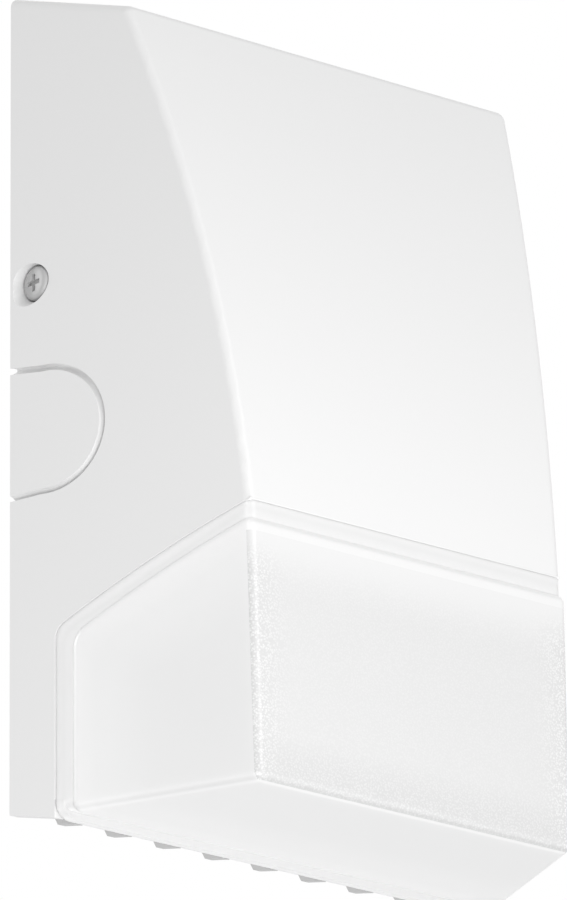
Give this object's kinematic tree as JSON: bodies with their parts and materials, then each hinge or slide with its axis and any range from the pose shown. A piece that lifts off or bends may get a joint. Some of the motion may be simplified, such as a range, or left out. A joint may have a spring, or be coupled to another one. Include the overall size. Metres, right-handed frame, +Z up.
{
  "type": "wall pack light",
  "caption": "Outdoor wall pack light: tapered cast housing with a curved front, wrap-round frosted lens below it, finned heat sink, side screws and a folded wall plate.",
  "frame": {"origin": "centre of the wall face, on the wall side of the gasket", "axes": "+Y into the wall, -Y out of the front, +Z up, +X to the right as seen from the front"},
  "size_m": [0.152, 0.0676, 0.2209],
  "materials": {
    "powder_white": "fine powder coat, soft sheen",
    "frosted_lens": "frosted polycarbonate, stippled front",
    "galvanised": "galvanised sheet",
    "zinc_screw": "bright zinc plate",
    "gasket_foam": "matte closed-cell foam",
    "black_rubber": "matte",
    "clear_silicone": "silicone",
    "ground_green": "green dyed plating",
    "thermal_grey": "matte pad",
    "board_white": "white solder mask",
    "phosphor": "yellow phosphor",
    "reflector_white": "bright white",
    "driver_aluminium": "satin extrusion",
    "black_plastic": "matte",
    "connector_nylon": "natural nylon",
    "wire_black": "insulation",
    "wire_white": "insulation",
    "wire_green": "insulation",
    "wire_red": "insulation",
    "cone_orange": "moulded"
  },
  "bodies": {
    "wall_plate": {"wall_gasket": "gasket_foam", "back_plate": "galvanised", "wire_grommet": "black_rubber", "ground_screw": "ground_green"},
    "fixture": {"housing": "powder_white", "heat_sink": "powder_white", "heat_sink_screws": "zinc_screw", "thermal_pad": "thermal_grey", "led_board": "board_white", "leds": "phosphor", "led_connector": "connector_nylon", "board_screws": "zinc_screw", "reflector": "reflector_white", "lens": "frosted_lens", "lens_gasket": "clear_silicone", "lens_screws": "zinc_screw", "driver_case": "driver_aluminium", "driver_end_caps": "black_plastic", "driver_screws": "zinc_screw", "supply_lead_line": "wire_black", "supply_lead_neutral": "wire_white", "ground_lead": "wire_green", "ground_lead_screw": "ground_green", "wire_connectors": "cone_orange", "output_lead_positive": "wire_red", "output_lead_negative": "wire_black", "lead_grommet": "black_rubber", "side_washers": "zinc_screw", "side_nuts": "zinc_screw"},
    "screw_left": {"side_screw_left": "zinc_screw"},
    "screw_right": {"side_screw_right": "zinc_screw"}
  },
  "joints": [
    {"name": "fixture_slide", "type": "slide", "parent": "wall_plate", "child": "fixture", "axis": [0, -1, 0], "range_m": [0, 0.12]},
    {"name": "screw_left_slide", "type": "slide", "parent": "fixture", "child": "screw_left", "axis": [-1, 0, 0], "range_m": [0, 0.005]},
    {"name": "screw_right_slide", "type": "slide", "parent": "fixture", "child": "screw_right", "axis": [1, 0, 0], "range_m": [0, 0.005]}
  ]
}
